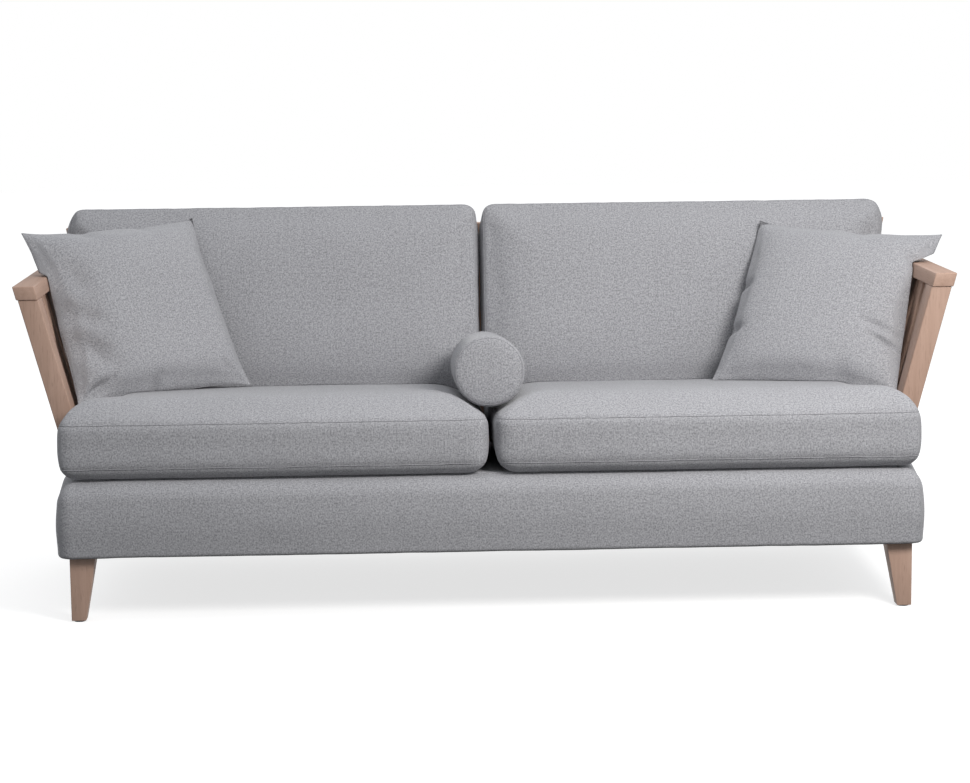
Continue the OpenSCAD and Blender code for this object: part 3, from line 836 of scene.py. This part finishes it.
def press_under_roll(obj, margin=0.0016):
    """Dents the seat where the neck roll lies on it."""
    to_row = np.array(obj.matrix_world)
    p = points_of(obj)
    row = p @ to_row[:3, :3].T + to_row[:3, 3]
    start, end = roll_line(-0.004), roll_line(ROLL_L + 0.004)
    axis = (end - start) / np.linalg.norm(end - start)
    t = (row - start) @ axis
    foot = start + np.clip(t, 0, np.linalg.norm(end - start))[:, None] * axis
    away = row - foot
    gap = np.linalg.norm(away, axis=1)
    wanted = ROLL_R + margin
    short = np.clip(wanted - gap, 0, None)
    soft = np.where(gap < wanted + 0.02, 0.0015 * np.exp(-((gap - wanted) / 0.012) ** 2), 0)
    push = short + soft * (row[:, 2] < foot[:, 2])
    row = row + away / np.maximum(gap, 1e-6)[:, None] * push[:, None]
    back = np.linalg.inv(to_row)
    set_points(obj, row @ back[:3, :3].T + back[:3, 3])


def droop(p):
    """Lets the lower front edge hang down over the rounded edge of the base."""
    near, far = SEAT_DROOP_Y
    front = np.clip((far - p[:, 1]) / (far - near), 0, 1)
    front = front * front * (3 - 2 * front)
    depth = np.clip((SEAM_HIGH - 0.012 - p[:, 2]) / (SEAM_HIGH - 0.012 - SEAM_LOW), 0, 1)
    lowered = p.copy()
    lowered[:, 2] -= SEAT_DROOP * front * depth
    return lowered


def make_seat_cushion(side, mat, seam_mat, seed):
    """A T-shaped box cushion: its ear reaches out in front of the arm's post."""
    outline = rounded_outline([
        (SEAT_INNER, 0, 0.038), (SEAT_EAR, 0, 0.026), (SEAT_EAR, SEAT_EAR_D, 0.026),
        (SEAT_BODY, SEAT_EAR_D, 0.012), (SEAT_BODY, SEAT_D, 0.035), (SEAT_INNER, SEAT_D, 0.035),
    ])
    form = BoxCushion(outline, SEAM_LOW, SEAM_HIGH, SEAT_CROWN, SEAT_UNDER, reach=0.13,
                      reach_under=0.062, bulge=0.005, edge=0.009, thinning=SEAT_THINNING,
                      full=SEAT_FULL, full_x=SEAT_FULL_X)
    pad = remeshed_boxes(side + "_seat_cushion_cover", [
        ((SEAT_INNER, 0, 0), (SEAT_BODY, SEAT_D, 0.15)),
        ((SEAT_BODY - 0.2, 0, 0), (SEAT_EAR, SEAT_EAR_D, 0.15)),
    ], VOXEL, mat)
    set_points(pad, form.settle(points_of(pad)))
    seams = [form.seam(True), form.seam(False)]
    p = points_of(pad)
    hold = np.clip(distance_to_lines(p, seams) / 0.05, 0.04, 1)
    quiet = np.where(p[:, 1] > 0.50, 0.25, 1.0) * np.where(p[:, 2] < SEAM_LOW, 0.1, 1.0)
    inflate(pad, 3.0, 14, 0.006 * hold * quiet)
    even_out(pad)
    subdivide(pad)
    set_points(pad, droop(points_of(pad)))
    seams = [droop(line) for line in seams]
    press_seams(pad, seams, 0.0020, 0.0050, seed)
    if side == "left":
        mirrored(pad)
    pad.matrix_world = SEAT_FRAME
    press_under_roll(pad)
    body = side + "_seat_cushion"
    finish_soft(pad, body, [side + "_seat_cushion"])
    flip = -1 if side == "left" else 1
    for where, line in zip(("top", "bottom"), seams):
        cord = seam_cord(f"{side}_seat_{where}_seam", pad, line * [flip, 1, 1], 0.0011, seam_mat)
        finish_part(cord, body)
    return world_tree(pad)


# ---------------------------------------------------------------- back cushions

BACK_FRAME = Matrix((
    (1, 0, 0, 0),
    (0, math.sin(RECLINE), -math.cos(RECLINE), FRONT + BACK_FACE_Y),
    (0, math.cos(RECLINE), math.sin(RECLINE), BACK_FACE_Z),
    (0, 0, 0, 1),
))


def make_back_cushion(side, mat, seam_mat, seed, seat):
    """A reclined box cushion whose outer side leans out with the arm."""
    outline = rounded_outline([
        (BACK_INNER, BACK_BOTTOM, 0.026), (BACK_BOTTOM_OUT, BACK_BOTTOM, 0.030),
        (BACK_TOP_OUT[side], BACK_TOP, 0.046), (BACK_INNER, BACK_TOP, 0.030),
    ])
    form = BoxCushion(outline, -BACK_T + 0.030, -0.034, 0.033, 0.026, reach=0.19,
                      reach_under=0.16, bulge=0.003, edge=0.012)
    block = ((BACK_INNER, BACK_BOTTOM, -BACK_T), (0.955, BACK_TOP, 0))
    pad = remeshed_boxes(side + "_back_cushion_cover", [block], VOXEL, mat)
    set_points(pad, form.settle(points_of(pad), 10))
    seams = [form.seam(True), form.seam(False)]
    hold = np.clip(distance_to_lines(points_of(pad), seams) / 0.05, 0.04, 1)
    inflate(pad, 3.0, 14, 0.007 * hold)
    even_out(pad)
    subdivide(pad)
    press_seams(pad, seams, 0.0018, 0.0050, seed)
    if side == "left":
        mirrored(pad)
    pad.matrix_world = BACK_FRAME
    press_onto(pad, seat, (0, 0, -1))
    body = side + "_back_cushion"
    finish_soft(pad, body, [side + "_back_cushion"])
    flip = -1 if side == "left" else 1
    for where, line in zip(("front", "back"), seams):
        cord = seam_cord(f"{side}_back_{where}_seam", pad, line * [flip, 1, 1], 0.0011, seam_mat)
        press_onto(cord, seat, (0, 0, -1))
        finish_part(cord, body)
    return world_tree(pad)


# ---------------------------------------------------------------- throw pillows

def fold_depth(p, folds, half):
    """How far the folds draw in each point of a pillow's front face."""
    total = np.zeros(len(p))
    for start, end, depth, width in folds:
        a, b = np.array(start) * half, np.array(end) * half
        along = b - a
        t = np.clip((p[:, :2] - a) @ along / (along @ along), 0, 1)
        away = np.linalg.norm(p[:, :2] - a - t[:, None] * along, axis=1)
        taper = 0.35 + 0.65 * np.sin(math.pi * np.clip(t, 0.04, 0.96))
        total += depth * taper * np.exp(-((away / width) ** 2))
    return total * (p[:, 2] > -0.004)


def hang_on_arm(obj, flip, gap=0.0022):
    """Holds a pillow off the leaning arm, up to the rail that its corner hangs over."""
    place = np.array(obj.matrix_world)
    row = points_of(obj) @ place[:3, :3].T + place[:3, 3]
    z = row[:, 2]
    limit = POST_FOOT.x + (z - POST_FOOT.z) * ARM_LEAN - gap
    limit += np.clip(z - RAIL_HIGH.z - 0.002, 0, None) * 3.0
    past = np.clip(flip * row[:, 0] - limit, 0, None)
    row[:, 0] -= flip * past
    row[:, 2] += np.where((z > RAIL_LOW.z) & (z < RAIL_HIGH.z + 0.02), 0.12 * past, 0)
    home = np.linalg.inv(place)
    set_points(obj, row @ home[:3, :3].T + home[:3, 3])


def make_pillow(side, mat, seam_mat, seed, seat, back):
    """A knife-edged square pillow with drawn-in sides, pointed corners and soft folds."""
    flip = -1 if side == "left" else 1
    (x, y, z), turn, lean, tilt, size = PILLOW_POSES[side]
    half = size / 2
    cells = 76
    verts, faces, index = [], [], {}

    def place(u, v, sheet):
        pull = 0.011
        across = u * (half - pull * (1 - v ** 4) * abs(u) ** 2)
        up = v * (half - pull * (1 - u ** 4) * abs(v) ** 2)
        full = ((1 - abs(u) ** 2.3) * (1 - abs(v) ** 2.3)) ** 0.56
        return across, up, sheet * PILLOW_T / 2 * full

    for sheet in (1, -1):
        for j in range(cells + 1):
            for i in range(cells + 1):
                on_edge = i in (0, cells) or j in (0, cells)
                if sheet == -1 and on_edge:
                    index[i, j, -1] = index[i, j, 1]
                    continue
                u = math.sin(math.pi / 2 * (2 * i / cells - 1))
                v = math.sin(math.pi / 2 * (2 * j / cells - 1))
                index[i, j, sheet] = len(verts)
                verts.append(place(u, v, sheet))
        for j in range(cells):
            for i in range(cells):
                quad = [index[i, j, sheet], index[i + 1, j, sheet],
                        index[i + 1, j + 1, sheet], index[i, j + 1, sheet]]
                faces.append(tuple(quad if sheet == 1 else reversed(quad)))
    pad = make_object(side + "_throw_pillow_cover", verts, faces, mat)
    rim = [(i, 0) for i in range(cells)] + [(cells, j) for j in range(cells)]
    rim += [(i, cells) for i in range(cells, 0, -1)] + [(0, j) for j in range(cells, 0, -1)]
    edge_ids = [index[i, j, 1] for i, j in rim]
    near = distance_to_lines(points_of(pad), [points_of(pad)[edge_ids]])
    inflate(pad, 2.5, 16, 0.009 * np.clip(near / 0.06, 0.05, 1))
    subdivide(pad)
    near = distance_to_lines(points_of(pad), [points_of(pad)[edge_ids]])
    p = points_of(pad)
    n = normals_of(pad)
    gathers = 0.0026 * np.exp(-((near / 0.045) ** 2)) * ripple(p * [1, 1, 0.2], 26, seed)
    sway = 0.0035 * ripple(p, 5.5, seed + 3) * np.clip(near / 0.1, 0, 1)
    shift = gathers * np.clip(near / 0.010, 0, 1) + sway - fold_depth(p, PILLOW_FOLDS[side], half)
    p = p + n * shift[:, None]
    wander = 0.0030 * ripple(p * [1, 1, 0], 9, seed + 9)
    inward = -p[:, :2] / np.maximum(np.linalg.norm(p[:, :2], axis=1), 1e-6)[:, None]
    p[:, :2] += inward * (wander * np.exp(-((near / 0.03) ** 2)))[:, None]
    set_points(pad, p)
    upright = Matrix.Rotation(math.radians(-lean), 4, "X") @ Matrix.Rotation(math.radians(tilt), 4, "Y")
    pad.matrix_world = (Matrix.Translation((x, FRONT + y, z)) @ Matrix.Rotation(math.radians(turn), 4, "Z")
                        @ upright @ Matrix.Rotation(math.pi / 2, 4, "X"))
    edge = p[edge_ids]
    cord = seam_cord(side + "_pillow_seam", pad, edge, 0.0013, seam_mat)
    for piece in (pad, cord):
        hang_on_arm(piece, flip)
        press_onto(piece, seat, (0, 0, -1))
        for lift in np.linspace(0, BACK_LIFT, 6):
            shift = (0, lift * math.sin(RECLINE), lift * math.cos(RECLINE))
            press_onto(piece, back, (0, math.cos(RECLINE), -math.sin(RECLINE)), 0.0015, shift=shift)
    body = side + "_pillow_cushion"
    finish_soft(pad, body, [side + "_throw_pillow"])
    finish_part(cord, body)


# ---------------------------------------------------------------- neck roll

def make_neck_roll(mat, seam_mat, seed):
    """A round bolster with flat ends, each sewn in with one seam."""
    around = 120
    edge = 0.010
    profile = [(0.0, -0.004), (0.012, -0.004), (0.026, -0.0036), (0.040, -0.0028), (0.052, -0.0012)]
    profile += [(0.062, 0.0005)]
    profile += [(ROLL_R - edge + edge * math.sin(a), edge * (1 - math.cos(a)) + 0.001)
                for a in np.linspace(0.2, math.pi / 2, 6)]
    body_steps = np.linspace(0.045, 0.5, 14)
    profile += [(ROLL_R - 0.001 + 0.0012 * math.sin(math.pi * t), ROLL_L * t) for t in body_steps]
    full = profile + [(r, ROLL_L - z) for r, z in reversed(profile[:-1])]
    verts, faces = [], []
    for r, z in full[1:-1]:
        for k in range(around):
            a = math.tau * k / around
            verts.append((r * math.cos(a), r * math.sin(a), z))
    rings = len(full) - 2
    for i in range(rings - 1):
        for k in range(around):
            m = (k + 1) % around
            faces.append((i * around + k, i * around + m, (i + 1) * around + m, (i + 1) * around + k))
    for ring, z in ((0, full[0][1]), (rings - 1, full[-1][1])):
        centre = len(verts)
        verts.append((0, 0, z))
        for k in range(around):
            m = (k + 1) % around
            tri = (ring * around + m, ring * around + k, centre)
            faces.append(tri if ring == 0 else tri[::-1])
    roll = make_object("neck_roll_cover", verts, faces, mat)
    seams = []
    for z in (0.0042, ROLL_L - 0.0042):
        ring = [(math.cos(a) * (ROLL_R - 0.0042), math.sin(a) * (ROLL_R - 0.0042), z)
                for a in np.linspace(0, math.tau, 97)[:-1]]
        seams.append(np.array(ring))
    hold = np.clip(distance_to_lines(points_of(roll), seams) / 0.04, 0.05, 1)
    inflate(roll, 2.0, 12, 0.0012 * hold)
    subdivide(roll)
    press_seams(roll, seams, 0.0022, 0.0050, seed, pucker=0.0008, pucker_reach=0.02)
    lie = Matrix.Translation((0, FRONT + ROLL_FRONT, ROLL_Z))
    roll.matrix_world = lie @ Matrix.Rotation(-math.pi / 2 - ROLL_TILT, 4, "X")
    finish_soft(roll, "neck_roll_body", ["neck_roll"])
    for where, line in zip(("front", "back"), seams):
        cord = seam_cord(f"neck_roll_{where}_seam", roll, line, 0.0012, seam_mat)
        finish_part(cord, "neck_roll_body")


# ---------------------------------------------------------------- wood and small parts

def soften(node, width, mat, segments=3):
    """The CAD node's own shape with every sharp edge rounded over, as sanded wood is."""
    source = frame["nodes"][node]
    mesh = bmesh.new()
    mesh.from_mesh(source.data)
    bmesh.ops.remove_doubles(mesh, verts=mesh.verts, dist=1e-5)
    bmesh.ops.dissolve_limit(mesh, angle_limit=math.radians(1), verts=mesh.verts, edges=mesh.edges)
    sharp = [e for e in mesh.edges if e.is_manifold and e.calc_face_angle(0) > math.radians(25)]
    bmesh.ops.bevel(mesh, geom=sharp, offset=width, segments=segments, affect="EDGES",
                    profile=0.5, clamp_overlap=True)
    bmesh.ops.triangulate(mesh, faces=[f for f in mesh.faces if len(f.verts) > 4])
    data = bpy.data.meshes.new(node + "_wood")
    mesh.to_mesh(data)
    mesh.free()
    data.materials.append(mat)
    for polygon in data.polygons:
        polygon.use_smooth = True
    data.set_sharp_from_angle(angle=math.radians(40))
    obj = link(bpy.data.objects.new(node + "_wood", data))
    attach(obj, source["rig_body"])
    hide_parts(node)


def dress(node, mat):
    obj = frame["nodes"][node]
    obj.data.materials.clear()
    obj.data.materials.append(mat)


PALE_WOOD = (0.450, 0.300, 0.232)
WARM_WOOD = (0.352, 0.225, 0.166)
GRAIN = {
    "z": ["front_left_leg", "front_right_leg", "back_left_leg", "back_right_leg",
          "left_front_post", "right_front_post", "left_arm_slats", "right_arm_slats",
          "left_back_post", "centre_back_post", "right_back_post",
          "left_back_slats", "right_back_slats"],
    "y": ["left_arm_sill", "right_arm_sill", "left_arm_rail", "right_arm_rail"],
    "x": ["back_bottom_rail", "back_top_rail"],
}


def make_wood():
    for seed, (axis, nodes) in enumerate(GRAIN.items()):
        mat = wood_material("soaped_wood_" + axis, axis, PALE_WOOD, WARM_WOOD, seed + 1)
        for node in nodes:
            soften(node, 0.0014 if "leg" in node else 0.0024, mat)
    raw = wood_material("frame_wood", "x", (0.62, 0.47, 0.29), (0.50, 0.35, 0.19), 7)
    for node in ("front_base_rail", "back_base_rail", "left_base_rail", "right_base_rail",
                 "centre_base_rail", "corner_blocks", "front_webbing_batten",
                 "back_webbing_batten", "side_webbing_battens"):
        dress(node, raw)


def make_small_parts():
    zinc = plain_material("zinc_steel", (0.55, 0.56, 0.58), 0.38, metal=1.0)
    for node in ("leg_plates", "leg_bolts", "arm_bolts", "back_bolts"):
        dress(node, zinc)
    dress("foot_glides", plain_material("glide_plastic", (0.03, 0.028, 0.026), 0.55))
    webbing = plain_material("webbing", (0.25, 0.21, 0.17), 0.85, grain=1400, depth=0.0006)
    dress("lengthwise_webbing", webbing)
    dress("crosswise_webbing", webbing)


def main():
    make_camera()
    make_light()
    make_floor()
    make_wood()
    make_small_parts()
    dark, light = (0.225, 0.225, 0.238), (0.440, 0.440, 0.462)
    cloth = fabric_material("grey_fabric", dark, light)
    stitched = fabric_material("seam_fabric", (0.20, 0.20, 0.212), (0.37, 0.37, 0.388))
    make_base_cover(cloth)
    make_deck_lining(cloth)
    under = plain_material("black_cloth", (0.03, 0.03, 0.032), 0.9, grain=1600, depth=0.0004)
    dress("dust_cover", under)
    for seed, side in enumerate(("left", "right")):
        seat = make_seat_cushion(side, cloth, stitched, 11 + seed)
        back = make_back_cushion(side, cloth, stitched, 21 + seed, seat)
        make_pillow(side, cloth, stitched, 31 + seed, seat, back)
    make_neck_roll(cloth, stitched, 41)


main()
